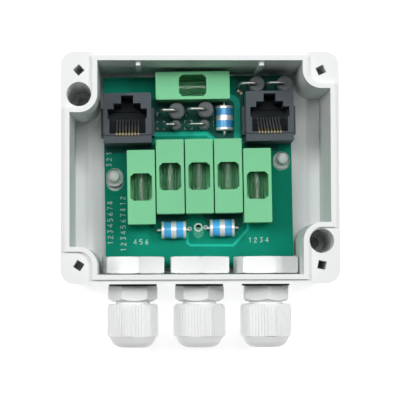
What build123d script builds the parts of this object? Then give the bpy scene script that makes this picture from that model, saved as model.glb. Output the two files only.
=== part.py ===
from build123d import *
from math import cos, radians
import os

# An open surge protector box for a twisted-pair data line, lying on its back with the rim up.
# X runs along the box, Y from the cable glands towards the far wall, Z out of the open box.
# The origin is the middle of the back face. All lengths are in millimetres.

# Box base
case_width = 90.0
case_height = 75.0
case_depth = 38.0
case_wall = 3.0
case_floor = 2.5
case_corner = 4.5
back_edge = 1.2
wall_lean = 0.45
floor_slope_width = 4.2
floor_slope_height = 2.4

# Tongue round the rim that goes into the lid's groove
lip_width = 1.6
lip_height = 1.5

# Corner bosses, with the lid screw sockets and the two wall-fixing wells
boss_inset_x = 5.9
boss_inset_y = 6.0
boss_radius = 6.0
socket_side = 2.7
socket_depth = 14.0
socket_turns = {"upper_left": 43.0, "upper_right": 25.0, "lower_left": -32.0, "lower_right": -12.0}
well_inset_y = 13.8
well_radius = 3.95
well_seat = 4.0
wall_screw_radius = 2.2

# Guide ribs on the far wall
rib_spacing = 40.0
rib_width = 1.45
rib_height = 0.9
rib_top_gap = 1.2
rib_foot_gap = 4.0

# Circuit board; it sits a little turned in the box
board_width = 63.5
board_length = 65.0
board_thickness = 1.6
board_bottom = 6.5
board_x = 0.06
board_y = 0.3
board_turn = 0.85
hole_clearance = 0.15

# Pegs of the base that locate the board in two slots, as (x, y) on the board
peg_places = {"left": (-28.45, -0.75), "right": (28.5, 4.35)}
peg_radius = 1.85
peg_height = 12.0
peg_dome = 1.2
peg_shoulder_radius = 3.3
slot_places = {"left": (-28.3, -1.85), "right": (28.25, 3.6)}
slot_width = 5.2
slot_lengths = {"left": 7.3, "right": 6.0}

# Data jacks, upright, open towards the lid
jack_places = {"left": (-23.5, 18.85), "right": (23.6, 18.85)}
jack_width = 15.8
jack_depth = 13.9
jack_height = 16.2
jack_back_depth = 2.55
jack_back_drop = 0.7
jack_ear = 1.0
jack_ear_length = 9.4
jack_ear_drop = 6.0
jack_ear_foot = 2.0
jack_edge = 0.35
jack_cavity_depth = 12.6
jack_plug_width = 11.9
jack_plug_height = 4.9
jack_shoulder_width = 13.0
jack_shoulder_height = 3.3
jack_step_width = 9.0
jack_step_height = 1.8
jack_slot_width = 4.0
jack_slot_height = 2.6
jack_front_wall = 0.85
jack_peg_radius = 1.6
jack_peg_spacing = 11.4
jack_peg_length = 2.8

# Spring contacts of a jack
contact_count = 8
contact_pitch = 1.016
contact_width = 0.45
contact_thickness = 0.3
contact_gap = 0.06
contact_top_drop = 0.5
comb_width = 0.62
comb_depth = 0.9
comb_height = 5.0
contact_fold_width = 1.1
contact_fold_fall = 0.4
contact_reach = 5.5
contact_tip_depth = 9.6
contact_tail = 0.6

# Fuse holders: five in a row and one across
fuse_row_count = 5
fuse_pitch = 9.65
fuse_row_y = -1.85
fuse_outer_drop = 3.35
fuse_cross_x = -1.7
fuse_cross_y = 28.35
holder_width = 9.2
holder_length = 24.6
holder_height = 13.0
holder_edge = 0.35
plinth_height = 3.0
plinth_inset = 0.15
cover_gap = 0.05
cover_wall = 1.0
cover_roof = 1.2
window_length = 9.1
window_cut = 1.1
grip_place = 5.7
grip_thickness = 1.2
grip_foot = 2.2
fuse_length = 20.0
fuse_cap_radius = 2.6
fuse_cap_length = 5.2
fuse_cap_wall = 0.15
fuse_glass_radius = 2.42
fuse_glass_wall = 0.4
fuse_fit = 0.03
fuse_axis_height = 7.1

# Fuse clips
clip_place = 8.2
clip_length = 2.6
clip_metal = 0.35
clip_fit = 0.06
clip_lip = 0.25
clip_rise = 1.8
clip_pin_width = 0.9
clip_pin_slack = 0.1
lead_end = 5.2

# Gas discharge tubes: (x, y, turn) on the board
tube_places = {"1": (9.1, 18.15, 90.0), "2": (-8.7, -19.3, 0.0), "3": (7.6, -18.9, 0.0)}
tube_radius = 2.95
tube_length = 8.3
tube_end = 0.9
tube_middle = 1.7
tube_ceramic_inset = 0.1
tube_lift = 0.25
tube_lead_radius = 0.4
tube_lead_reach = 1.15
tube_lead_bend = 0.7

# Suppressor diodes, stood on end: (x, y, lead pitch, kind) on the board
diode_places = {
    "1": (-7.1, 20.35, 5.6, "large"),
    "2": (2.6, 20.65, 5.9, "large"),
    "3": (-7.4, 15.85, 3.8, "small"),
    "4": (2.2, 15.85, 5.4, "small"),
    "5": (19.9, 28.9, 5.8, "large"),
    "6": (29.3, 28.9, 6.0, "large"),
}
diode_radius = {"large": 2.65, "small": 1.65}
diode_length = {"large": 9.5, "small": 6.6}
diode_lead_radius = {"large": 0.45, "small": 0.36}
diode_bend = {"large": 2.2, "small": 1.5}
diode_lift = 0.6
diode_arch = 2.6
diode_edge = 0.3
diode_lead_gap = 0.04

# Test pad hole in the board
pad_place = (-0.3, -18.5)
pad_radius = 0.95

# Cable glands along the near wall, with the turn of each hexagon in degrees
gland_pitch = 22.0
gland_z = 19.5
gland_names = ("left", "middle", "right")
nut_turns = {"left": 79.0, "middle": 88.0, "right": 76.0}
flange_turns = {"left": 54.0, "middle": 71.0, "right": 89.0}
cap_turns = {"left": 70.0, "middle": 41.0, "right": 50.0}
spigot_radius = 6.1
spigot_clearance = 0.12
spigot_recess = 0.3
washer_thickness = 0.7
washer_radius = 7.9
flange_flats = 14.2
flange_length = 5.1
flange_edge = 0.5
flange_cut = 1.7
flange_cut_length = 0.9
nut_flats = 19.0
nut_length = 5.5
nut_edge = 0.7
neck_radius = 5.6
neck_length = 0.9
neck_taper = 0.3
gland_bore = 3.6
bore_overlap = 1.0
seat_cone = 1.0
thread_radius = 5.55
thread_length = 7.0
claw_length = 3.4
claw_tip_radius = 5.05
claw_slot = 0.7
claw_count = 8
seal_seat_radius = 4.6
seal_seat_depth = 8.6
seal_clearance = 0.1
seal_bore = 3.0
seal_length = 8.2
cap_flats = 15.8
cap_radius = 8.55
cap_length = 14.2
cap_straight = 10.4
cap_step_radius = 7.8
cap_step_length = 0.25
cap_cone_radius = 6.95
cap_cone_length = 1.8
cap_crown = (6.0, 2.78)
cap_end_radius = 4.3
cap_clearance = 0.12
cap_exit_radius = 3.6
cap_exit_length = 2.0
cap_edge = 0.75
cap_edge_length = 1.1
groove_count = 48
groove_width = 0.5
groove_depth = 0.22

# Places worked out from the sizes above
board_top = board_bottom + board_thickness
holder_top = board_top + holder_height
jack_top = board_top + jack_height
board_frame = Pos(board_x, 0, 0) * Rot(0, 0, board_turn)
boss_x = case_width / 2 - boss_inset_x
boss_y = case_height / 2 - boss_inset_y
well_y = case_height / 2 - well_inset_y
inner_width = case_width - 2 * case_wall
inner_height = case_height - 2 * case_wall
flange_start = washer_thickness
flange_end = flange_start + flange_length
cap_start = flange_end + neck_length
cap_end = cap_start + cap_length


def save(shape, name):
    export_step(shape, f"parts/{name}.step")


def block(width, depth, bottom, top):
    """Upright block centred on X and Y, between two heights."""
    return extrude(Pos(0, 0, bottom) * Rectangle(width, depth), top - bottom)


def disc(radius, bottom, top):
    """Upright cylinder on the Z axis, between two heights."""
    return extrude(Pos(0, 0, bottom) * Circle(radius), top - bottom)


def turned(outline):
    """Body turned about Z from a closed outline of (radius, height) points."""
    return revolve(make_face(Polyline(*[(r, 0, z) for r, z in outline], close=True)), axis=Axis.Z)


def strip(points, thickness, width):
    """Bent strip of metal: a line of (y, z) points, given a thickness and a width along X."""
    left, right = [], []
    for index, (y, z) in enumerate(points):
        before = Vector(y, z) - Vector(*points[max(index - 1, 0)])
        after = Vector(*points[min(index + 1, len(points) - 1)]) - Vector(y, z)
        before = before.normalized() if before.length else after.normalized()
        after = after.normalized() if after.length else before
        middle = (before + after).normalized()
        side = Vector(-middle.Y, middle.X) * (thickness / 2 / middle.dot(after))
        left.append((0, y + side.X, z + side.Y))
        right.append((0, y - side.X, z - side.Y))
    outline = make_face(Polyline(*left, *reversed(right), close=True))
    return extrude(outline, width / 2, dir=(1, 0, 0), both=True)


def wire(points, radius, bend):
    """Round lead along a line of points with every corner bent to one radius."""
    path = FilletPolyline(*points, radius=bend)
    return sweep(Plane(origin=path @ 0, z_dir=path % 0) * Circle(radius), path=path)


def on_board(x, y, turn=0.0):
    return board_frame * Pos(x, y, 0) * Rot(0, 0, turn)


# Box base
def boss_plan(side_x, side_y, end_y, radius):
    """Plan of a corner boss: round at its inner end, square to the box's corner."""
    corner_x, corner_y = case_width / 2, case_height / 2
    full = Pos((corner_x + boss_x - radius) / 2, (corner_y + end_y) / 2)
    full *= Rectangle(corner_x - boss_x + radius, corner_y - end_y)
    end = Pos((corner_x + boss_x) / 2, (corner_y + end_y - radius) / 2)
    end *= Rectangle(corner_x - boss_x, corner_y - end_y + radius)
    plan = full + end + Pos(boss_x, end_y) * Circle(radius)
    if side_x < 0:
        plan = mirror(plan, Plane.YZ)
    if side_y < 0:
        plan = mirror(plan, Plane.XZ)
    return plan


def boss_plans(radius):
    short = boss_plan(1, 1, boss_y, radius) + boss_plan(-1, -1, boss_y, radius)
    return short + boss_plan(-1, 1, well_y, radius) + boss_plan(1, -1, well_y, radius)


def cavity_plan(grow):
    """Outline of the hollow at the rim, moved outwards by grow."""
    return Rectangle(inner_width + 2 * grow, inner_height + 2 * grow) - boss_plans(boss_radius - grow)


def hollow():
    """Space inside the box: leaning walls, a slope round the floor, less the corner bosses."""
    slope_top = case_floor + floor_slope_height
    depth = case_depth - slope_top
    lean = wall_lean * depth / (case_depth - case_floor)
    width, height = inner_width - 2 * lean, inner_height - 2 * lean
    walls = loft([Pos(0, 0, slope_top) * Rectangle(width, height),
                  Pos(0, 0, case_depth) * Rectangle(inner_width, inner_height)], ruled=True)
    slope = loft([Pos(0, 0, case_floor) * Rectangle(width - 2 * floor_slope_width, height - 2 * floor_slope_width),
                  Pos(0, 0, slope_top) * Rectangle(width, height)], ruled=True)
    bosses = extrude(Pos(0, 0, case_floor) * boss_plans(boss_radius), case_depth - case_floor)
    return walls + slope - bosses


def guide_ribs():
    rib_bottom = case_floor + floor_slope_height + rib_foot_gap
    rib_top = case_depth - lip_height - rib_top_gap
    depth = rib_height + wall_lean
    rib = Pos(0, (inner_height - depth) / 2, 0) * block(rib_width, depth, rib_bottom, rib_top)
    return Pos(-rib_spacing / 2, 0, 0) * rib + Pos(rib_spacing / 2, 0, 0) * rib


def board_peg():
    """Shouldered peg with a rounded top; the board lies on its shoulder."""
    stem = disc(peg_radius, board_bottom, peg_height)
    stem = fillet(stem.edges().group_by(Axis.Z)[-1], peg_dome)
    return disc(peg_shoulder_radius, case_floor, board_bottom) + stem


def enclosure_base():
    shell = extrude(RectangleRounded(case_width, case_height, case_corner), case_depth)
    shell = fillet(shell.edges().group_by(Axis.Z)[0], back_edge)
    ledge = RectangleRounded(case_width, case_height, case_corner) - cavity_plan(lip_width)
    ledge = extrude(Pos(0, 0, case_depth - lip_height) * ledge, lip_height)
    shell = shell - hollow() - ledge
    for name, turn in socket_turns.items():
        x = boss_x if "right" in name else -boss_x
        y = boss_y if "upper" in name else -boss_y
        socket = Pos(x, y, case_depth - lip_height) * Rot(0, 0, turn) * Rectangle(socket_side, socket_side)
        shell -= extrude(socket, -socket_depth)
    for x, y in ((-boss_x, well_y), (boss_x, -well_y)):
        shell -= Pos(x, y, 0) * disc(well_radius, well_seat, case_depth)
        shell -= Pos(x, y, 0) * disc(wall_screw_radius, 0, well_seat)
    for name in gland_names:
        shell -= gland_frame(name) * disc(spigot_radius + spigot_clearance, -2 * case_wall, case_wall)
    shell += guide_ribs()
    for x, y in peg_places.values():
        shell += on_board(x, y) * board_peg()
    return shell


# Circuit board
def board_holes():
    """Every hole drilled for a lead or a pin, as (x, y, radius) on the board."""
    holes = [(*pad_place, pad_radius)]
    for x, y, pitch, kind in diode_places.values():
        radius = diode_lead_radius[kind] + hole_clearance
        holes += [(x, y, radius), (x - pitch, y, radius)]
    for x, y, turn in tube_places.values():
        for step in (-1, 0, 1):
            place = Vector(step * (tube_length / 2 + tube_lead_reach), 0).rotate(Axis.Z, turn)
            holes.append((x + place.X, y + place.Y, tube_lead_radius + hole_clearance))
    for x, y, turn in holder_places().values():
        for step in (-1, 1):
            place = Vector(0, step * clip_place).rotate(Axis.Z, turn)
            holes.append((x + place.X, y + place.Y, clip_pin_width / 2 + hole_clearance))
    for x, y in jack_places.values():
        for step in (-1, 1):
            holes.append((x + step * jack_peg_spacing / 2, y, jack_peg_radius + hole_clearance))
    return holes


def circuit_board():
    plan = Pos(0, board_y) * Rectangle(board_width, board_length)
    for x, y, radius in board_holes():
        plan -= Pos(x, y) * Circle(radius)
    for side, (x, y) in slot_places.items():
        plan -= Pos(x, y) * Rot(0, 0, 90) * SlotOverall(slot_lengths[side], slot_width)
    return board_frame * extrude(Pos(0, 0, board_bottom) * plan, board_thickness)


# Data jacks
def mouth_back():
    """Y of the mouth's back wall, behind the contacts."""
    rise = jack_plug_height + jack_shoulder_height + jack_step_height + jack_slot_height
    return jack_depth / 2 - jack_front_wall - rise


def contact_offsets():
    first = -(contact_count - 1) * contact_pitch / 2
    return [first + index * contact_pitch for index in range(contact_count)]


def jack_opening_plan():
    """Mouth of a jack seen from the lid: contact bay, plug, shoulder, step and latch slot."""
    plan = Rectangle(jack_plug_width, jack_plug_height, align=(Align.CENTER, Align.MIN))
    rise = jack_plug_height
    for width, height in ((jack_shoulder_width, jack_shoulder_height), (jack_step_width, jack_step_height),
                          (jack_slot_width, jack_slot_height)):
        plan += Pos(0, rise) * Rectangle(width, height, align=(Align.CENTER, Align.MIN))
        rise += height
    return Pos(0, mouth_back()) * plan


def jack_housing():
    body = block(jack_width, jack_depth, board_top, jack_top)
    body = chamfer(body.edges().filter_by(Axis.Z), jack_edge)
    back = Pos(0, -(jack_depth + jack_back_depth) / 2, 0)
    back *= block(jack_width, jack_back_depth, board_top, jack_top - jack_back_drop)
    ears = Pos(0, (jack_ear_length - jack_depth) / 2, 0)
    ears *= block(jack_width + 2 * jack_ear, jack_ear_length, board_top + jack_ear_foot, jack_top - jack_ear_drop)
    mouth = extrude(Pos(0, 0, jack_top) * jack_opening_plan(), -jack_cavity_depth)
    for offset in contact_offsets():
        groove = Rectangle(comb_width, 2 * comb_depth)
        mouth += extrude(Pos(offset, mouth_back(), jack_top) * groove, -comb_height)
    pegs = disc(jack_peg_radius, board_top - jack_peg_length, board_top)
    pegs = Pos(-jack_peg_spacing / 2, 0, 0) * pegs + Pos(jack_peg_spacing / 2, 0, 0) * pegs
    return body + back + ears + pegs - mouth


def jack_contacts():
    """Sprung strips that rise in the grooves of the mouth's back wall, fold over and slope down."""
    leg = mouth_back() - comb_depth + contact_gap + contact_thickness / 2
    floor = jack_top - comb_height + contact_gap
    top = jack_top - contact_top_drop
    crown = (leg + contact_fold_width / 4, leg + contact_fold_width * 3 / 4)
    points = [(leg, floor), (leg, top - contact_fold_fall), (crown[0], top), (crown[1], top),
              (leg + contact_fold_width, top - contact_fold_fall),
              (leg + contact_reach, jack_top - contact_tip_depth),
              (leg + contact_reach + contact_tail, jack_top - contact_tip_depth - contact_tail)]
    one = strip(points, contact_thickness, contact_width)
    return Compound([Pos(offset, 0, 0) * one for offset in contact_offsets()])


# Fuse holders; each is built lengthways along Y about the holder's middle
def holder_places():
    places = {}
    last = fuse_row_count - 1
    for index in range(fuse_row_count):
        drop = fuse_outer_drop if index in (0, last) else 0
        places[str(index + 1)] = ((index - last / 2) * fuse_pitch, fuse_row_y - drop, 0.0)
    places[str(fuse_row_count + 1)] = (fuse_cross_x, fuse_cross_y, 90.0)
    return places


def fuse_base():
    width, length = holder_width - 2 * plinth_inset, holder_length - 2 * plinth_inset
    plinth_top = board_top + plinth_height
    body = block(width, length, board_top, plinth_top)
    for step in (-1, 1):
        slot = Pos(0, step * clip_place, 0)
        slot *= block(clip_pin_width + 2 * clip_pin_slack, clip_metal + 2 * clip_pin_slack, board_top, plinth_top)
        body -= slot
    return body


def fuse_cover():
    """Lift-off cap with a window over the fuse and two inner forks that carry the fuse's end caps."""
    bottom = board_top + plinth_height + cover_gap
    body = block(holder_width, holder_length, bottom, holder_top)
    body = fillet(body.edges().filter_by(Axis.Z), holder_edge)
    inside = block(holder_width - 2 * cover_wall, holder_length - 2 * cover_wall, bottom, holder_top - cover_roof)
    axis_z = board_top + fuse_axis_height
    fork = block(holder_width - 2 * cover_wall, grip_thickness, bottom + grip_foot, holder_top - cover_roof)
    notch = Plane.XZ.offset(-grip_thickness) * (
        Pos(0, axis_z) * Circle(fuse_cap_radius + clip_fit)
        + Pos(0, axis_z - holder_height / 2) * Rectangle(2 * (fuse_cap_radius + clip_fit), holder_height))
    fork -= extrude(notch, 2 * grip_thickness)
    forks = Pos(0, grip_place, 0) * fork + Pos(0, -grip_place, 0) * fork
    window = Rectangle(holder_width - 2 * cover_wall, window_length)
    window = chamfer(window.vertices(), window_cut)
    window = extrude(Pos(0, 0, holder_top) * window, -2 * cover_roof)
    return body - (inside - forks) - window


def along_y(shape):
    """Turns a body made about Z so that it lies along Y at the fuse's height."""
    return Pos(0, 0, board_top + fuse_axis_height) * Rot(90, 0, 0) * shape


def fuse_glass():
    half = fuse_length / 2 - fuse_cap_wall
    tube = disc(fuse_glass_radius, -half, half) - disc(fuse_glass_radius - fuse_glass_wall, -half, half)
    return along_y(tube)


def fuse_end_caps():
    half = fuse_length / 2
    bore = fuse_glass_radius + fuse_fit
    cup = turned([(0, half - fuse_cap_wall), (bore, half - fuse_cap_wall), (bore, half - fuse_cap_length),
                  (fuse_cap_radius, half - fuse_cap_length), (fuse_cap_radius, half), (0, half)])
    return Compound([along_y(cup), along_y(Rot(180, 0, 0) * cup)])


def fuse_clip():
    """Sprung U of sheet metal with a solder pin through the base and the board."""
    plinth_top = board_top + plinth_height
    arm = fuse_cap_radius + clip_fit + clip_metal / 2
    arm_top = board_top + fuse_axis_height + clip_rise
    points = [(-arm - clip_lip, arm_top + 2 * clip_lip), (-arm, arm_top), (-arm, plinth_top + clip_metal / 2),
              (arm, plinth_top + clip_metal / 2), (arm, arm_top), (arm + clip_lip, arm_top + 2 * clip_lip)]
    spring = Rot(0, 0, 90) * strip(points, clip_metal, clip_length)
    return spring + block(clip_pin_width, clip_metal, lead_end, plinth_top)


def fuse_clips():
    clips = []
    for x, y, turn in holder_places().values():
        for step in (-1, 1):
            clips.append(on_board(x, y, turn) * Pos(0, step * clip_place, 0) * fuse_clip())
    return Compound(clips)


# Gas discharge tubes; each is built lengthways along X about its middle
def lying(shape):
    return Pos(0, 0, board_top + tube_lift + tube_radius) * Rot(0, 90, 0) * shape


def tube_ceramic():
    outer, inner = tube_length / 2 - tube_end, tube_middle / 2
    ring = disc(tube_radius - tube_ceramic_inset, inner, outer)
    return Compound([lying(ring), lying(Rot(180, 0, 0) * ring)])


def tube_electrodes():
    """Two end electrodes and the middle one, each with its lead down through the board."""
    axis_z = board_top + tube_lift + tube_radius
    face = tube_length / 2
    end = chamfer(disc(tube_radius, face - tube_end, face).edges().group_by(Axis.Z)[-1], tube_end / 4)
    reach = face + tube_lead_reach
    lead = wire([(face - tube_end / 2, 0, axis_z), (reach, 0, axis_z), (reach, 0, lead_end)],
                tube_lead_radius, tube_lead_bend)
    end = lying(end) + lead
    middle = lying(disc(tube_radius, -tube_middle / 2, tube_middle / 2)) + disc(tube_lead_radius, lead_end, axis_z)
    return Compound([end, Rot(0, 0, 180) * end, middle])


# Suppressor diodes
def diode_body(kind):
    bottom = board_top + diode_lift
    radius, edge = diode_radius[kind], diode_edge
    bore = diode_lead_radius[kind] + diode_lead_gap
    top = bottom + diode_length[kind]
    return turned([(bore, bottom), (radius - edge, bottom), (radius, bottom + edge), (radius, top - edge),
                   (radius - edge, top), (bore, top)])


def diode_lead(kind, pitch):
    """One wire: up through the body, over in an arch and down through the board."""
    arch = board_top + diode_lift + diode_length[kind] + diode_arch
    points = [(0, 0, lead_end), (0, 0, arch), (-pitch, 0, arch), (-pitch, 0, lead_end)]
    return wire(points, diode_lead_radius[kind], diode_bend[kind])


def diode_leads():
    leads = []
    for x, y, pitch, kind in diode_places.values():
        leads.append(on_board(x, y) * diode_lead(kind, pitch))
    return Compound(leads)


# Cable glands; each is built about Z, with Z = 0 on the wall's outer face and Z outwards
def gland_frame(name):
    x = (gland_names.index(name) - 1) * gland_pitch
    return Plane(origin=(x, -case_height / 2, gland_z), x_dir=(1, 0, 0), z_dir=(0, -1, 0)).location


def hexagon(flats, bottom, top, turn, edge, cut=None, cut_length=None):
    """Six-sided bar with turned corners; the cut may be deeper at the top end."""
    cut, cut_length = cut or edge, cut_length or edge / 2
    corner = flats / 2 / cos(radians(30))
    bar = extrude(Pos(0, 0, bottom) * Rot(0, 0, turn) * RegularPolygon(corner, 6), top - bottom)
    blank = turned([(0, bottom), (corner - edge, bottom), (corner, bottom + edge / 2),
                    (corner, top - cut_length), (corner - cut, top), (0, top)])
    return bar & blank


def gland_body(turn):
    inner_end = -(case_wall + wall_lean + nut_length - spigot_recess)
    thread_end = cap_start + thread_length
    claw_end = thread_end + claw_length
    seat = claw_end - seal_seat_depth
    core = turned([(gland_bore, inner_end), (spigot_radius, inner_end), (spigot_radius, flange_start),
                   (neck_radius, flange_end), (neck_radius, cap_start - neck_taper),
                   (thread_radius, cap_start), (thread_radius, thread_end), (claw_tip_radius, claw_end),
                   (seal_seat_radius, claw_end), (seal_seat_radius, seat), (gland_bore, seat - seat_cone)])
    bore = disc(gland_bore, flange_start - bore_overlap, flange_end + bore_overlap)
    head = hexagon(flange_flats, flange_start, flange_end, turn, flange_edge, flange_cut, flange_cut_length)
    body = core + (head - bore)
    for index in range(claw_count // 2):
        cut = Rot(0, 0, turn + index * 360 / claw_count) * Pos(0, 0, thread_end)
        body -= cut * block(claw_slot, 3 * thread_radius, 0, 2 * claw_length)
    return body


def seal_insert():
    outer = seal_seat_radius - seal_clearance
    claw_end = cap_start + thread_length + claw_length
    bottom = claw_end - seal_seat_depth + (seal_seat_depth - seal_length) / 2
    return disc(outer, bottom, bottom + seal_length) - disc(seal_bore, bottom, bottom + seal_length)


def cap_surface(angle):
    """Distance from the axis to the cap's side at an angle from the middle of a flat."""
    away = (angle + 30) % 60 - 30
    return min(cap_radius, cap_flats / 2 / cos(radians(away)))


def gland_cap(turn):
    """Domed clamping nut: six flats on a round body, fine grooves all round and a cone inside."""
    straight_end = cap_start + cap_straight
    claw_end = cap_start + thread_length + claw_length
    bore = thread_radius + cap_clearance
    cone_start = straight_end + cap_step_length
    cone_end = cone_start + cap_cone_length
    crown = (cap_crown[0], 0, cone_start + cap_crown[1])
    outline = Polyline((cap_end_radius, 0, cap_end), (cap_exit_radius, 0, cap_end),
                       (cap_exit_radius, 0, cap_end - cap_exit_length),
                       (claw_tip_radius + cap_clearance, 0, claw_end + cap_clearance),
                       (bore, 0, claw_end - claw_length), (bore, 0, cap_start),
                       (cap_radius - cap_edge, 0, cap_start), (cap_radius, 0, cap_start + cap_edge_length),
                       (cap_radius, 0, straight_end), (cap_step_radius, 0, cone_start),
                       (cap_cone_radius, 0, cone_end))
    outline += ThreePointArc((cap_cone_radius, 0, cone_end), crown, (cap_end_radius, 0, cap_end))
    body = revolve(make_face(outline), axis=Axis.Z)
    corner = cap_flats / 2 / cos(radians(30))
    body &= extrude(Pos(0, 0, cap_start) * Rot(0, 0, 30) * RegularPolygon(corner, 6), cap_length)
    grooves = Sketch()
    for index in range(groove_count):
        angle = (index + 0.5) * 360 / groove_count
        reach = cap_surface(angle)
        notch = make_face(Polyline((reach - groove_depth, 0), (reach + groove_depth, groove_width),
                                   (reach + groove_depth, -groove_width), close=True))
        grooves += Rot(0, 0, angle) * notch
    body -= extrude(Pos(0, 0, cap_start) * grooves, cap_straight)
    return Rot(0, 0, turn) * body


def lock_nuts():
    top = -(case_wall + wall_lean)
    nuts = []
    for name in gland_names:
        nut = hexagon(nut_flats, top - nut_length, top, nut_turns[name], nut_edge)
        nut -= disc(spigot_radius + spigot_clearance, top - nut_length, top)
        nuts.append(gland_frame(name) * nut)
    return Compound(nuts)


def sealing_washers():
    washer = disc(washer_radius, 0, washer_thickness)
    washer -= disc(spigot_radius + spigot_clearance, 0, washer_thickness)
    return Compound([gland_frame(name) * washer for name in gland_names])


# Every sub-part to its own file
os.makedirs("parts", exist_ok=True)
save(enclosure_base(), "enclosure_base")
save(circuit_board(), "circuit_board")
for side, (x, y) in jack_places.items():
    save(on_board(x, y) * jack_housing(), f"jack_housing_{side}")
    save(on_board(x, y) * jack_contacts(), f"jack_contacts_{side}")
for number, place in holder_places().items():
    save(on_board(*place) * fuse_base(), f"fuse_base_{number}")
    save(on_board(*place) * fuse_cover(), f"fuse_cover_{number}")
    save(on_board(*place) * fuse_glass(), f"fuse_glass_{number}")
    save(on_board(*place) * fuse_end_caps(), f"fuse_end_caps_{number}")
save(fuse_clips(), "fuse_clips")
for number, place in tube_places.items():
    save(on_board(*place) * tube_ceramic(), f"gas_tube_ceramic_{number}")
    save(on_board(*place) * tube_electrodes(), f"gas_tube_electrodes_{number}")
for number, (x, y, pitch, kind) in diode_places.items():
    save(on_board(x, y) * diode_body(kind), f"diode_body_{number}")
save(diode_leads(), "diode_leads")
for name in gland_names:
    save(gland_frame(name) * gland_body(flange_turns[name]), f"gland_body_{name}")
    save(gland_frame(name) * seal_insert(), f"gland_seal_{name}")
    save(gland_frame(name) * gland_cap(cap_turns[name]), f"gland_cap_{name}")
save(lock_nuts(), "lock_nuts")
save(sealing_washers(), "sealing_washers")
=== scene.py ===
import math

import bmesh
import bpy
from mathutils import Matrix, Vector


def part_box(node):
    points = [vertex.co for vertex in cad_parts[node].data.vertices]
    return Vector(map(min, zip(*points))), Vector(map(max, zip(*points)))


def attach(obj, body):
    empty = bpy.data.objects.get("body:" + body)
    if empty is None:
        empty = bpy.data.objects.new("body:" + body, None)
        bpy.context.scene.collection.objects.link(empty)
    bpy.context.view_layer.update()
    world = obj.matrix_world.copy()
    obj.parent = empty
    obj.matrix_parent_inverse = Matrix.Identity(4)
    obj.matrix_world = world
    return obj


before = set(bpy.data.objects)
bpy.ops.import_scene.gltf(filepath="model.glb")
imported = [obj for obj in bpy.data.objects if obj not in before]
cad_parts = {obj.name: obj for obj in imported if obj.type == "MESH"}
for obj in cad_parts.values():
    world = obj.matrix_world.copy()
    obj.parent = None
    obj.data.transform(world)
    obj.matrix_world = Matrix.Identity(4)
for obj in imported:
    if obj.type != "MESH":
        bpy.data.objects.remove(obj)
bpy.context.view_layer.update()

# Lengths of shapes are in millimetres until a mesh is written; lamps, camera and floor are in metres
MM = 0.001
BASE = "base"

# Places that follow the solids
BOARD_TOP = 8.1
BOARD_TURN = math.radians(0.85)
BOARD_X = 0.06
CROSS_FUSE = 6
JACK_PLACES = (("left", (-23.5, 18.85)), ("right", (23.6, 18.85)))
JACK_HEIGHT = 16.2
MOUTH_DEPTH = 12.6
LARGE_DIODE, SMALL_DIODE = (2.65, 9.5), (1.65, 6.6)
DIODE_FOOT = 0.6
GLAND_SPACING = 22.0
GLAND_AXIS_Z = 19.5
GLAND_WALL_Y = -37.5
THREAD_PITCH = 1.27


# Geometry helpers
MITRE_LIMIT = 0.4


def on_board(x, y, z=BOARD_TOP):
    """Point on the board, which sits a little turned in the box."""
    c, s = math.cos(BOARD_TURN), math.sin(BOARD_TURN)
    return Vector((x * c - y * s + BOARD_X, x * s + y * c, z))


def rectangle(left, low, right, high):
    return [(left, low), (right, low), (right, high), (left, high)]


class Shape:
    """Collects faces in millimetres and writes them as one object in metres."""

    def __init__(self):
        self.bm = bmesh.new()

    def point(self, place):
        return self.bm.verts.new(place * MM)

    def join(self, loops, closed):
        """Skin over loops of points that follow each other; open ones get an end face on both sides."""
        count = len(loops[0])
        following = loops[1:] + loops[:1] if closed else loops[1:]
        for a, b in zip(loops, following):
            for k in range(count):
                n = (k + 1) % count
                self.bm.faces.new((a[k], a[n], b[n], b[k]))
        if not closed:
            self.bm.faces.new(loops[0])
            self.bm.faces.new(list(reversed(loops[-1])))

    def prism(self, outline, bottom, top, place=on_board):
        """Closed upright prism over an outline of (x, y) points."""
        self.join([[self.point(place(x, y, z)) for x, y in outline] for z in (bottom, top)], closed=False)

    def line(self, points, width, top):
        """Flat strip of one width on the board along a line of (x, y) points, with mitred corners."""
        left, right = [], []
        for i, p in enumerate(points):
            p = Vector(p)
            a = (p - Vector(points[i - 1])).normalized() if i else None
            b = (Vector(points[i + 1]) - p).normalized() if i + 1 < len(points) else None
            a = a or b
            b = b or a
            m = (a + b).normalized()
            side = Vector((-m.y, m.x)) * (width / 2 / max(m.dot(a), MITRE_LIMIT))
            left.append(p + side)
            right.append(p - side)
        for i in range(len(points) - 1):
            self.prism([tuple(v) for v in (right[i], right[i + 1], left[i + 1], left[i])], BOARD_TOP, top)

    def ring(self, x, y, inner, outer, bottom, top, steps=28):
        """Flat ring about an upright axis."""
        loops = []
        for radius, z in ((inner, bottom), (outer, bottom), (outer, top), (inner, top)):
            loops.append([self.point(on_board(x + radius * math.cos(t), y + radius * math.sin(t), z))
                          for t in (2 * math.pi * k / steps for k in range(steps))])
        self.join(loops, closed=True)

    def write(self, name, material, slot, body=BASE, bevel=0.0):
        bmesh.ops.recalc_face_normals(self.bm, faces=self.bm.faces)
        mesh = bpy.data.meshes.new(name)
        self.bm.to_mesh(mesh)
        self.bm.free()
        piece = bpy.data.objects.new(name, mesh)
        bpy.context.collection.objects.link(piece)
        mesh.materials.append(material)
        if bevel:
            soft = piece.modifiers.new("edge", "BEVEL")
            soft.width = bevel * MM
            soft.segments = 2
            soft.limit_method = "ANGLE"
        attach(piece, body)


# Node helpers
def add_node(tree, kind, values=()):
    """Shader node with some of its inputs set, given as pairs of name and value."""
    node = tree.nodes.new("ShaderNode" + kind)
    for name, value in values:
        node.inputs[name].default_value = value
    return node


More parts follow.
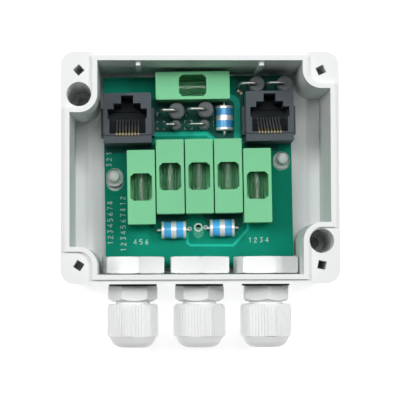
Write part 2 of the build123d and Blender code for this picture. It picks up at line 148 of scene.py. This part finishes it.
def add_math(tree, operation, *values):
    """Math node over sockets and plain numbers; gives its result's socket."""
    node = tree.nodes.new("ShaderNodeMath")
    node.operation = operation
    for socket, value in zip(node.inputs, values):
        if isinstance(value, float):
            socket.default_value = value
        else:
            tree.links.new(value, socket)
    return node.outputs[0]


def add_noise(tree, place, scale, detail):
    noise = add_node(tree, "TexNoise", (("Scale", scale), ("Detail", detail)))
    tree.links.new(place, noise.inputs["Vector"])
    return noise.outputs["Fac"]


def seen_directly(tree, path):
    """One for the rays that show a thing itself: from the camera, through glass or by a reflection."""
    through = add_math(tree, "MAXIMUM", path.outputs["Is Camera Ray"], path.outputs["Is Transmission Ray"])
    return add_math(tree, "MAXIMUM", through, path.outputs["Is Glossy Ray"])


# Materials
DRIFT_DETAIL, GRAIN_DETAIL = 4.0, 3.0
DRIFT_BAND = (0.3, 0.7)
GRAIN_DEPTH = 0.00005


def surface(name, color, vary, vary_scale, rough, rough_vary=0.08, metallic=0.0, grain=0.0, grain_scale=2500.0,
            coat=0.0, specular=0.5):
    """Procedural surface: colour and roughness drift over the piece, with a fine moulded grain."""
    mat = bpy.data.materials.new(name)
    mat.use_nodes = True
    tree = mat.node_tree
    links = tree.links
    shader = tree.nodes["Principled BSDF"]
    shader.inputs["Metallic"].default_value = metallic
    shader.inputs["Coat Weight"].default_value = coat
    shader.inputs["Coat Roughness"].default_value = 0.15
    shader.inputs["Specular IOR Level"].default_value = specular
    place = add_node(tree, "TexCoord").outputs["Object"]
    drift = add_noise(tree, place, vary_scale, DRIFT_DETAIL)
    ramp = add_node(tree, "ValToRGB")
    for stop, position, share in zip(ramp.color_ramp.elements, DRIFT_BAND, (1 - vary, 1 + vary)):
        stop.position = position
        stop.color = (*(min(c * share, 1.0) for c in color), 1)
    links.new(drift, ramp.inputs["Fac"])
    links.new(ramp.outputs["Color"], shader.inputs["Base Color"])
    spread = add_node(tree, "MapRange", (("To Min", max(rough - rough_vary, 0.02)),
                                         ("To Max", min(rough + rough_vary, 1.0))))
    links.new(drift, spread.inputs["Value"])
    links.new(spread.outputs["Result"], shader.inputs["Roughness"])
    if grain:
        bump = add_node(tree, "Bump", (("Strength", grain), ("Distance", GRAIN_DEPTH)))
        links.new(add_noise(tree, place, grain_scale, GRAIN_DETAIL), bump.inputs["Height"])
        links.new(bump.outputs["Normal"], shader.inputs["Normal"])
    return mat


def paint_shade_low(mat, color, start, end):
    """Paints shade: blends the base colour into another one below a height, given in metres."""
    tree = mat.node_tree
    links = tree.links
    base_color = tree.nodes["Principled BSDF"].inputs["Base Color"]
    upper = base_color.links[0].from_socket
    parts = add_node(tree, "SeparateXYZ")
    gate = add_node(tree, "MapRange", (("From Min", start), ("From Max", end)))
    mix = tree.nodes.new("ShaderNodeMix")
    mix.data_type = "RGBA"
    mix.inputs["A"].default_value = (*color, 1)
    links.new(add_node(tree, "TexCoord").outputs["Object"], parts.inputs["Vector"])
    links.new(parts.outputs["Z"], gate.inputs["Value"])
    links.new(gate.outputs["Result"], mix.inputs["Factor"])
    links.new(upper, mix.inputs["B"])
    links.new(mix.outputs["Result"], base_color)


def clear_glass(mat):
    shader = mat.node_tree.nodes["Principled BSDF"]
    shader.inputs["Transmission Weight"].default_value = 1.0
    shader.inputs["IOR"].default_value = 1.25
    shader.inputs["Specular IOR Level"].default_value = 0.15


case_plastic = surface("case_plastic", (0.85, 0.865, 0.865), vary=0.015, vary_scale=25, rough=0.5,
                       grain=0.25, grain_scale=3000)
nylon = surface("gland_nylon", (0.86, 0.87, 0.865), vary=0.02, vary_scale=40, rough=0.42,
                grain=0.2, grain_scale=2500)
mask = surface("solder_mask", (0.004, 0.245, 0.160), vary=0.10, vary_scale=55, rough=0.5,
               grain=0.12, grain_scale=1400, specular=0.03)
# Dark bare laminate; in the strips below the jacks it is also painted shade
laminate = surface("bare_laminate", (0.014, 0.115, 0.095), vary=0.15, vary_scale=120, rough=0.5,
                   grain=0.12, grain_scale=1400, specular=0.08)
thin_mask = surface("thin_mask", (0.06, 0.40, 0.27), vary=0.18, vary_scale=700, rough=0.45,
                    grain=0.2, grain_scale=1200, specular=0.15)
copper_mask = surface("masked_copper", (0.010, 0.46, 0.33), vary=0.06, vary_scale=80, rough=0.5,
                      grain=0.1, grain_scale=1600, specular=0.1)
silk = surface("silkscreen", (0.62, 0.76, 0.70), vary=0.12, vary_scale=900, rough=0.6)
tin = surface("tinned_pad", (0.42, 0.47, 0.44), vary=0.15, vary_scale=500, rough=0.45, metallic=0.5,
              grain=0.3, grain_scale=900)
tube_metal = surface("tube_metal", (0.86, 0.86, 0.87), vary=0.08, vary_scale=500, rough=0.32,
                     metallic=0.35, grain=0.1, grain_scale=1500)
jack_plastic = surface("jack_plastic", (0.056, 0.071, 0.083), vary=0.10, vary_scale=90, rough=0.5,
                       grain=0.25, grain_scale=2600, specular=0.25)
# Near-black for the carriers in the jacks' mouths: painted shade of the deep mouth
mouth_shade_dark = surface("jack_mouth_shade", (0.025, 0.033, 0.036), vary=0.2, vary_scale=300, rough=0.6,
                    grain=0.2, grain_scale=2000, specular=0.15)
gold = surface("contact_gold", (0.30, 0.24, 0.13), vary=0.25, vary_scale=900, rough=0.5, metallic=0.6)
# Painted shade: the contacts are a dull grey deep in the mouth, and gold at their upper bend
paint_shade_low(gold, (0.24, 0.26, 0.27), 0.0212, 0.0222)
mint = surface("holder_plastic", (0.195, 0.590, 0.305), vary=0.035, vary_scale=60, rough=0.55,
               grain=0.25, grain_scale=2600, specular=0.25)
nickel = surface("plated_metal", (0.74, 0.74, 0.72), vary=0.08, vary_scale=300, rough=0.25, metallic=1.0)
wire_tin = surface("tinned_wire", (0.66, 0.66, 0.64), vary=0.12, vary_scale=400, rough=0.36, metallic=1.0,
                   grain=0.2, grain_scale=1500)
# Pale green for the fuse element: painted light, the lit holder floor seen through the glass
element_painted_light = surface("fuse_element", (0.28, 0.41, 0.31), vary=0.3, vary_scale=1300, rough=0.6, specular=0.1)
blue = surface("tube_ceramic", (0.06, 0.40, 0.78), vary=0.12, vary_scale=260, rough=0.35, coat=0.2)
epoxy = surface("diode_plastic", (0.085, 0.097, 0.100), vary=0.15, vary_scale=300, rough=0.5,
                grain=0.4, grain_scale=2200, specular=0.3)
rubber = surface("rubber", (0.03, 0.03, 0.032), vary=0.2, vary_scale=200, rough=0.75,
                 grain=0.3, grain_scale=1800)
chip_brown = surface("chip_ceramic", (0.42, 0.16, 0.03), vary=0.25, vary_scale=900, rough=0.5)
glass = surface("fuse_glass", (0.93, 0.97, 0.95), vary=0.02, vary_scale=200, rough=0.2, rough_vary=0.03)
clear_glass(glass)

FINISH = {
    "enclosure_base": case_plastic,
    "circuit_board": mask,
    "jack_housing": jack_plastic,
    "jack_contacts": gold,
    "fuse_base": mint,
    "fuse_cover": mint,
    "fuse_glass": glass,
    "fuse_end_caps": nickel,
    "fuse_clips": nickel,
    "gas_tube_ceramic": blue,
    "gas_tube_electrodes": tube_metal,
    "diode_body": epoxy,
    "diode_leads": wire_tin,
    "gland_body": nylon,
    "gland_seal": rubber,
    "gland_cap": nylon,
    "lock_nuts": nylon,
    "sealing_washers": rubber,
}
for node_name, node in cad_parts.items():
    kind = max((k for k in FINISH if node_name.startswith(k)), key=len)
    node.data.materials.clear()
    node.data.materials.append(FINISH[kind])


# Thin layers on the board: bare laminate, partly painted shade, copper paths, pads and print, each to a height of
# its own
LAYER = 0.035
BARE_TOP = BOARD_TOP + LAYER * 0.4
PRINT_TOP = BOARD_TOP + LAYER * 0.8
TAIL_TOP = BOARD_TOP + LAYER * 0.9
COPPER_TOP = BOARD_TOP + LAYER
PAD_TOP = BOARD_TOP + LAYER * 1.5

# Patches of dark bare laminate where no copper lies, round the diodes, by the gas tubes and below the jacks. The
# two strips below the jacks are partly laminate and partly painted shade cast by the jacks
BARE_AND_SHADE = [
    [(-14.9, 14.3), (3.6, 14.3), (6.6, 11.4), (12.3, 11.4), (12.3, 23.2), (11.4, 25.8), (-14.9, 25.8)],
    [(14.7, 10.5), (17.0, 10.5), (17.0, 26.4), (31.6, 26.4), (31.6, 32.6), (13.3, 32.6), (13.3, 26.4),
     (14.7, 25.0)],
    [(-17.0, -13.0), (-4.6, -13.0), (-3.7, -15.4), (-4.6, -16.6), (-14.6, -16.7), (-15.6, -18.6),
     (-17.0, -18.6)],
    [(0.2, -13.0), (2.3, -16.2), (2.5, -19.4), (3.6, -21.2), (11.4, -21.2), (14.4, -18.2), (15.0, -13.0)],
    rectangle(-31.6, 7.0, -15.2, 11.0),
    rectangle(17.0, 7.0, 27.4, 11.0),
]
bare_and_shade = Shape()
for outline in BARE_AND_SHADE:
    bare_and_shade.prism(outline, BOARD_TOP, BARE_TOP)
bare_and_shade.write("board_bare", laminate, slot="board_laminate")

# Copper paths: width and the line they follow
TRACES = [
    (0.85, [(-4.0, -20.0), (-4.1, -23.7), (-3.1, -24.5), (11.4, -24.8), (16.4, -19.5), (16.6, -14.0)]),
    (1.35, [(-15.1, 13.3), (3.2, 13.3), (5.9, 10.7), (5.9, 2.0)]),
    (2.0, [(10.9, 25.7), (12.4, 25.1), (13.3, 24.2), (13.6, 23.2), (13.4, 11.0)]),
]
copper = Shape()
for width, points in TRACES:
    copper.line(points, width, COPPER_TOP)
copper.write("board_traces", copper_mask, slot="board_laminate")

# Large pad between the lower gas tubes, with a rounded tail towards the glands
PAD_X, PAD_Y = -0.3, -18.5
TAIL_RADIUS, TAIL_Y = 1.72, -20.4
tail = Shape()
half_turn = [math.pi * (1 + k / 16) for k in range(17)]
tail.prism([(PAD_X + TAIL_RADIUS * math.cos(t), TAIL_Y + TAIL_RADIUS * math.sin(t)) for t in half_turn]
           + [(PAD_X + TAIL_RADIUS, PAD_Y), (PAD_X - TAIL_RADIUS, PAD_Y)], BOARD_TOP, TAIL_TOP)
tail.write("pad_tail", thin_mask, slot="board_laminate")

# Tinned rings: inner and outer radius, round the large pad's hole and the inner leads of the lower gas tubes
PAD_RING, LEAD_RING = (0.96, 1.45), (0.5, 0.78)
INNER_LEADS = ((-3.294, -19.0), (2.194, -18.6))
pads = Shape()
for x, y in INNER_LEADS:
    pads.ring(x, y, *LEAD_RING, BOARD_TOP, PAD_TOP)
pads.ring(PAD_X, PAD_Y, *PAD_RING, BOARD_TOP, PAD_TOP, steps=40)
pads.write("board_pads", tin, slot="tinned_wire")

# Print on the board: plain numbers, corner marks, ticks and the outlines of the slots. Each number is one
# stroke, drawn at a height of 1.3
STROKES = {
    "1": [(0.2, 1), (0.5, 1.3), (0.5, 0)],
    "2": [(0, 1), (0.35, 1.3), (0.7, 1), (0, 0), (0.75, 0)],
    "3": [(0, 1.3), (0.7, 1.3), (0.3, 0.75), (0.7, 0.4), (0.35, 0), (0, 0.2)],
    "4": [(0.55, 0), (0.55, 1.3), (0, 0.4), (0.8, 0.4)],
    "5": [(0.7, 1.3), (0.1, 1.3), (0.05, 0.75), (0.6, 0.75), (0.7, 0.3), (0.4, 0), (0, 0.1)],
    "6": [(0.6, 1.3), (0.1, 0.6), (0.1, 0.15), (0.4, 0), (0.7, 0.2), (0.6, 0.6), (0.15, 0.6)],
    "7": [(0, 1.3), (0.7, 1.3), (0.3, 0)],
    "8": [(0.35, 0.7), (0.1, 1.0), (0.35, 1.3), (0.6, 1.0), (0.35, 0.7), (0.05, 0.35), (0.35, 0),
          (0.65, 0.35), (0.35, 0.7)],
}
LONG_STEP, SHORT_STEP = 1.95, 1.4
NUMBER_STROKE, MARK_STROKE, TICK_STROKE, SLOT_STROKE = 0.16, 0.18, 0.14, 0.16
MARK_ARM = 0.7
TICKS, TICK_LENGTH, TICK_STEP = 4, 0.7, 1.2
TICK_X, TICK_Y = 5.47, 15.8
SLOT_GAP = 0.12
printed = Shape()


def print_row(text, x, y, step, height, upright=False):
    """Plain numbers in a row, running along X or, upright, along Y."""
    for index, number in enumerate(text):
        points = []
        for px, py in STROKES[number]:
            px, py = px * height, py * height
            points.append((x - py, y + index * step + px) if upright else (x + index * step + px, y + py))
        printed.line(points, NUMBER_STROKE, PRINT_TOP)


print_row("12345678", -29.3, -23.8, LONG_STEP, 1.3, upright=True)
print_row("321", -29.3, 2.6, LONG_STEP, 1.3, upright=True)
print_row("1234567812", -24.9, -26.2, LONG_STEP, 1.3, upright=True)
print_row("456", -22.2, -23.9, LONG_STEP, 1.25)
print_row("1234", 16.6, -23.9, LONG_STEP, 1.25)
for x, y, half_x, half_y in ((-12.45, 16.4, 1.3, 1.35), (-3.1, 16.4, 1.3, 1.45)):
    for sx in (-1, 1):
        for sy in (-1, 1):
            printed.line([(x + sx * (half_x - MARK_ARM), y + sy * half_y), (x + sx * half_x, y + sy * half_y),
                          (x + sx * half_x, y + sy * (half_y - MARK_ARM))], MARK_STROKE, PRINT_TOP)
for k in range(TICKS):
    low = TICK_Y + k * TICK_STEP
    printed.line([(TICK_X, low), (TICK_X, low + TICK_LENGTH)], TICK_STROKE, PRINT_TOP)
print_row("12", -15.2, 19.6, SHORT_STEP, 0.8)
print_row("34", -5.4, 19.3, SHORT_STEP, 0.8)
for x, y, half_x, half_y in ((-28.3, -1.85, 2.6, 3.65), (28.25, 3.6, 2.6, 3.0)):
    edge = []
    for k in range(49):
        t = 2 * math.pi * k / 48
        end = half_y - half_x if math.sin(t) > 0 else half_x - half_y
        radius = half_x + SLOT_GAP
        edge.append((x + radius * math.cos(t), y + radius * math.sin(t) + end))
    printed.line(edge, SLOT_STROKE, PRINT_TOP)
printed.write("board_print", silk, slot="board_laminate")


# Element inside each fuse: a thin ribbon that hangs a little between the end caps and widens at them; its pale
# green colour is painted light, the lit holder floor seen through the glass
ELEMENT_REACH, ELEMENT_STEP, ELEMENT_ROWS = 9.6, 0.6, 33
ELEMENT_HALF_WIDTH, ELEMENT_HALF_THICKNESS = 0.42, 0.06
ELEMENT_SAG = 0.3
WIDER_FROM, WIDER_SLOPE = 8.2, 0.35


def fuse_element(number):
    low, high = (Vector(c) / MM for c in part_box(f"fuse_glass_{number}"))
    middle = (low + high) / 2
    c, s = math.cos(BOARD_TURN), math.sin(BOARD_TURN)
    along = Vector((c, s, 0)) if number == CROSS_FUSE else Vector((-s, c, 0))
    aside = Vector((-along.y, along.x, 0))
    shape = Shape()
    rows = []
    for i in range(ELEMENT_ROWS):
        t = i * ELEMENT_STEP - ELEMENT_REACH
        half = ELEMENT_HALF_WIDTH + max(abs(t) - WIDER_FROM, 0) * WIDER_SLOPE
        sag = ELEMENT_SAG * math.cos(t / ELEMENT_REACH * math.pi / 2)
        rows.append([shape.point(middle + along * t + aside * half * side
                                 + Vector((0, 0, ELEMENT_HALF_THICKNESS * up - sag)))
                     for side, up in ((-1, -1), (-1, 1), (1, 1), (1, -1))])
    shape.join(rows, closed=False)
    shape.write(f"fuse_element_{number}", element_painted_light, body=f"fuse_{number}", slot="tinned_wire")


for number in range(1, 7):
    fuse_element(number)


# Small chip with tinned ends, by the right jack
CHIP_X, CHIP_Y = 14.6, 27.3
CHIP_LEAN = math.radians(-38)
CHIP_HALF_WIDTH = 0.45


def on_chip(u, v, z):
    c, s = math.cos(CHIP_LEAN), math.sin(CHIP_LEAN)
    return on_board(CHIP_X + u * c - v * s, CHIP_Y + u * s + v * c, z)


for name, material, height, spans in (("chip_body", chip_brown, 0.55, ((-0.55, 0.55),)),
                                      ("chip_ends", tin, 0.6, ((-0.95, -0.5), (0.5, 0.95)))):
    chip = Shape()
    for start, end in spans:
        chip.prism(rectangle(start, -CHIP_HALF_WIDTH, end, CHIP_HALF_WIDTH), BOARD_TOP, BOARD_TOP + height,
                   on_chip)
    chip.write(name, material, slot="board_laminate")


# Dark carrier in the foot of each jack's mouth, stepped like the mouth; its near-black colour is painted shade of
# the deep mouth
CARRIER_FOOT = BOARD_TOP + JACK_HEIGHT - MOUTH_DEPTH
CARRIER_STEPS = ((5.9, -5.2, -1.65, 0.3), (5.9, -1.6, 1.6, 0.5), (4.4, 1.7, 3.4, 0.5), (1.9, 3.5, 6.0, 0.5))
for side, (x, y) in JACK_PLACES:
    shade_carrier = Shape()
    for half_width, start, end, height in CARRIER_STEPS:
        shade_carrier.prism(rectangle(x - half_width, y + start, x + half_width, y + end), CARRIER_FOOT,
                      CARRIER_FOOT + height)
    shade_carrier.write(f"jack_mouth_shade_{side}", mouth_shade_dark, slot="jack_plastic", bevel=0.08)


# Bands round the diodes, measured down from their tops
BAND_START, BAND_END = 2.3, 1.2
BAND_INSIDE, BAND_OUTSIDE = 0.05, 0.03
bands = Shape()
for x, y, (radius, height) in ((-7.1, 20.35, LARGE_DIODE), (2.6, 20.65, LARGE_DIODE),
                               (-7.4, 15.85, SMALL_DIODE), (2.2, 15.85, SMALL_DIODE),
                               (19.9, 28.9, LARGE_DIODE), (29.3, 28.9, LARGE_DIODE)):
    top = BOARD_TOP + DIODE_FOOT + height
    bands.ring(x, y, radius - BAND_INSIDE, radius + BAND_OUTSIDE, top - BAND_START, top - BAND_END, steps=36)
bands.write("diode_bands", silk, slot="diode_plastic")


# Thread on each gland, where the neck shows and under the cap, as distances from the wall
THREAD_START, THREAD_END = 7.1, 13.3
THREAD_ROOT, THREAD_CREST = 5.5, 5.64
THREAD_HALF_WIDTH = 0.32
THREAD_STEPS, THREAD_FADE = 40, 8


def gland_thread(x):
    """Low spiral ridge that fades out at both ends."""
    shape = Shape()
    count = int((THREAD_END - THREAD_START) / THREAD_PITCH * THREAD_STEPS)
    rows = []
    for i in range(count + 1):
        t = 2 * math.pi * i / THREAD_STEPS
        out = THREAD_START + THREAD_PITCH * i / THREAD_STEPS
        fade = min(1.0, i / THREAD_FADE, (count - i) / THREAD_FADE)
        crest = THREAD_ROOT + (THREAD_CREST - THREAD_ROOT) * fade
        rows.append([shape.point(Vector((x + radius * math.cos(t), GLAND_WALL_Y - out - shift,
                                         GLAND_AXIS_Z + radius * math.sin(t))))
                     for radius, shift in ((THREAD_ROOT, -THREAD_HALF_WIDTH), (crest, 0.0),
                                           (THREAD_ROOT, THREAD_HALF_WIDTH))])
    shape.join(rows, closed=False)
    return shape


for index, side in enumerate(("left", "middle", "right")):
    gland_thread((index - 1) * GLAND_SPACING).write(f"gland_thread_{side}", nylon, slot="gland_nylon")


# Camera, fitted to the photograph's view
def put_camera():
    data = bpy.data.cameras.new("camera")
    data.sensor_width = 36.0
    data.sensor_fit = "HORIZONTAL"
    data.lens = 147.44
    data.clip_start = 0.01
    camera = bpy.data.objects.new("camera", data)
    camera.location = (-0.014283, -0.034735, 0.562767)
    camera.rotation_euler = (math.radians(2.637), math.radians(-1.531), math.radians(-0.179))
    bpy.context.collection.objects.link(camera)
    bpy.context.scene.camera = camera


# Three soft lamps of equal power, all beyond the far wall: name, place and size
LAMP_POWER = 4.95
LAMP_AIM = Vector((0, 0, 0.01))
LAMPS = (
    ("left", (-0.64, 0.24, 0.94), (0.5, 0.2)),
    ("right", (0.64, 0.24, 0.94), (0.5, 0.2)),
    ("top", (0.0, 0.2, 1.2), (0.7, 0.2)),
)


def put_lamp(name, place, size):
    data = bpy.data.lights.new(name, "AREA")
    data.shape = "RECTANGLE"
    data.size, data.size_y = size
    data.energy = LAMP_POWER
    lamp = bpy.data.objects.new(name, data)
    lamp.location = place
    lamp.rotation_euler = (LAMP_AIM - Vector(place)).to_track_quat("-Z", "Y").to_euler()
    bpy.context.collection.objects.link(lamp)


# Room: faint light from all round; what is seen of it is white low down and grey overhead
ROOM_LIGHT = 0.03
ROOM_GREY = 0.12
GREY_FROM, GREY_FULL = 0.25, 0.7


def set_world():
    world = bpy.data.worlds.new("studio")
    bpy.context.scene.world = world
    world.use_nodes = True
    tree = world.node_tree
    links = tree.links
    tree.nodes.clear()
    out = add_node(tree, "OutputWorld")
    parts = add_node(tree, "SeparateXYZ")
    fade = add_node(tree, "MapRange", (("From Min", GREY_FROM), ("From Max", GREY_FULL), ("To Min", 1.0),
                                       ("To Max", ROOM_GREY)))
    links.new(add_node(tree, "TexCoord").outputs["Generated"], parts.inputs["Vector"])
    links.new(parts.outputs["Z"], fade.inputs["Value"])
    seen = add_node(tree, "Background", (("Color", (1, 1, 1, 1)),))
    links.new(fade.outputs["Result"], seen.inputs["Strength"])
    light = add_node(tree, "Background", (("Color", (0.97, 0.99, 1.0, 1)), ("Strength", ROOM_LIGHT)))
    mix = add_node(tree, "MixShader")
    links.new(seen_directly(tree, add_node(tree, "LightPath")), mix.inputs["Fac"])
    links.new(light.outputs[0], mix.inputs[1])
    links.new(seen.outputs[0], mix.inputs[2])
    links.new(mix.outputs[0], out.inputs["Surface"])


# Floor: pale paper just under the part
FLOOR_HALF = 3.0
FLOOR_DROP = 0.00005
# Where the floor is seen it is lifted to white, by this much near the part and by 1 far off, where the lamps fade
FLOOR_LIFT = 0.6
NEAR_FLOOR, FAR_FLOOR = 0.12, 0.6
# Bright paper lights the outside of the part a little from below
FLOOR_GLOW = 0.6
# No lift and no glow straight under the box, so that its screw holes stay dark
UNDER_BOX = (("X", 0.044), ("Y", 0.0365))


def floor_paper():
    mat = bpy.data.materials.new("floor_paper")
    mat.use_nodes = True
    tree = mat.node_tree
    links = tree.links
    shader = tree.nodes["Principled BSDF"]
    shader.inputs["Base Color"].default_value = (0.82, 0.82, 0.82, 1)
    shader.inputs["Roughness"].default_value = 0.9
    shader.inputs["Specular IOR Level"].default_value = 0.1
    shader.inputs["Emission Color"].default_value = (1, 1, 1, 1)
    place = add_node(tree, "TexCoord").outputs["Object"]
    parts = add_node(tree, "SeparateXYZ")
    links.new(place, parts.inputs["Vector"])
    reach = add_node(tree, "VectorMath")
    reach.operation = "LENGTH"
    links.new(place, reach.inputs[0])
    away = add_node(tree, "MapRange", (("From Min", NEAR_FLOOR), ("From Max", FAR_FLOOR),
                                       ("To Min", FLOOR_LIFT)))
    links.new(reach.outputs["Value"], away.inputs["Value"])
    beside = add_math(tree, "MAXIMUM", *(
        add_math(tree, "GREATER_THAN", add_math(tree, "ABSOLUTE", parts.outputs[axis]), half_size)
        for axis, half_size in UNDER_BOX))
    path = add_node(tree, "LightPath")
    lift = add_math(tree, "MULTIPLY", seen_directly(tree, path), away.outputs["Result"])
    glow = add_math(tree, "MULTIPLY", path.outputs["Is Diffuse Ray"], FLOOR_GLOW)
    shown = add_math(tree, "MULTIPLY", add_math(tree, "ADD", lift, glow), beside)
    links.new(shown, shader.inputs["Emission Strength"])
    return mat


def put_floor():
    shape = bmesh.new()
    shape.faces.new([shape.verts.new((x, y, -FLOOR_DROP))
                     for x, y in rectangle(-FLOOR_HALF, -FLOOR_HALF, FLOOR_HALF, FLOOR_HALF)])
    mesh = bpy.data.meshes.new("floor")
    shape.to_mesh(mesh)
    shape.free()
    floor = bpy.data.objects.new("floor", mesh)
    bpy.context.collection.objects.link(floor)
    mesh.materials.append(floor_paper())


put_camera()
put_floor()
set_world()
for name, place, size in LAMPS:
    put_lamp(name, place, size)

scene = bpy.context.scene
scene.view_settings.view_transform = "Standard"
